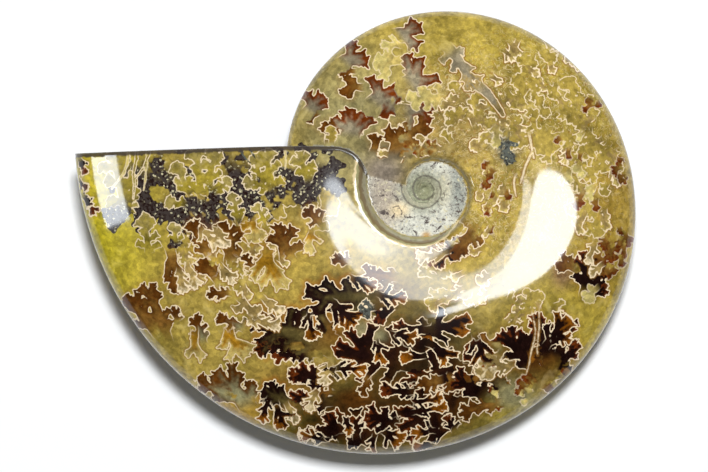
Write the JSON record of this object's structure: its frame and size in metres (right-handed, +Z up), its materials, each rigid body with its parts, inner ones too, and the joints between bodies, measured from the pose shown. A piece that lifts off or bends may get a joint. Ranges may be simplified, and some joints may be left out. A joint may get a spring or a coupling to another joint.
{
  "type": "ammonite fossil",
  "caption": "Polished coiled ammonite fossil with a flat cut opening and a sunken umbilicus, lying on a small flat spot ground on its lower flank.",
  "frame": {"origin": "middle of the underside of the bounding box", "axes": "+X along the longest side, away from the cut opening; +Z up, across the coil, out of the flank that shows"},
  "size_m": [0.115, 0.091, 0.0301],
  "materials": {
    "polished_fossil": "polished"
  },
  "bodies": {
    "root": {"ammonite": "polished_fossil"}
  },
  "joints": []
}
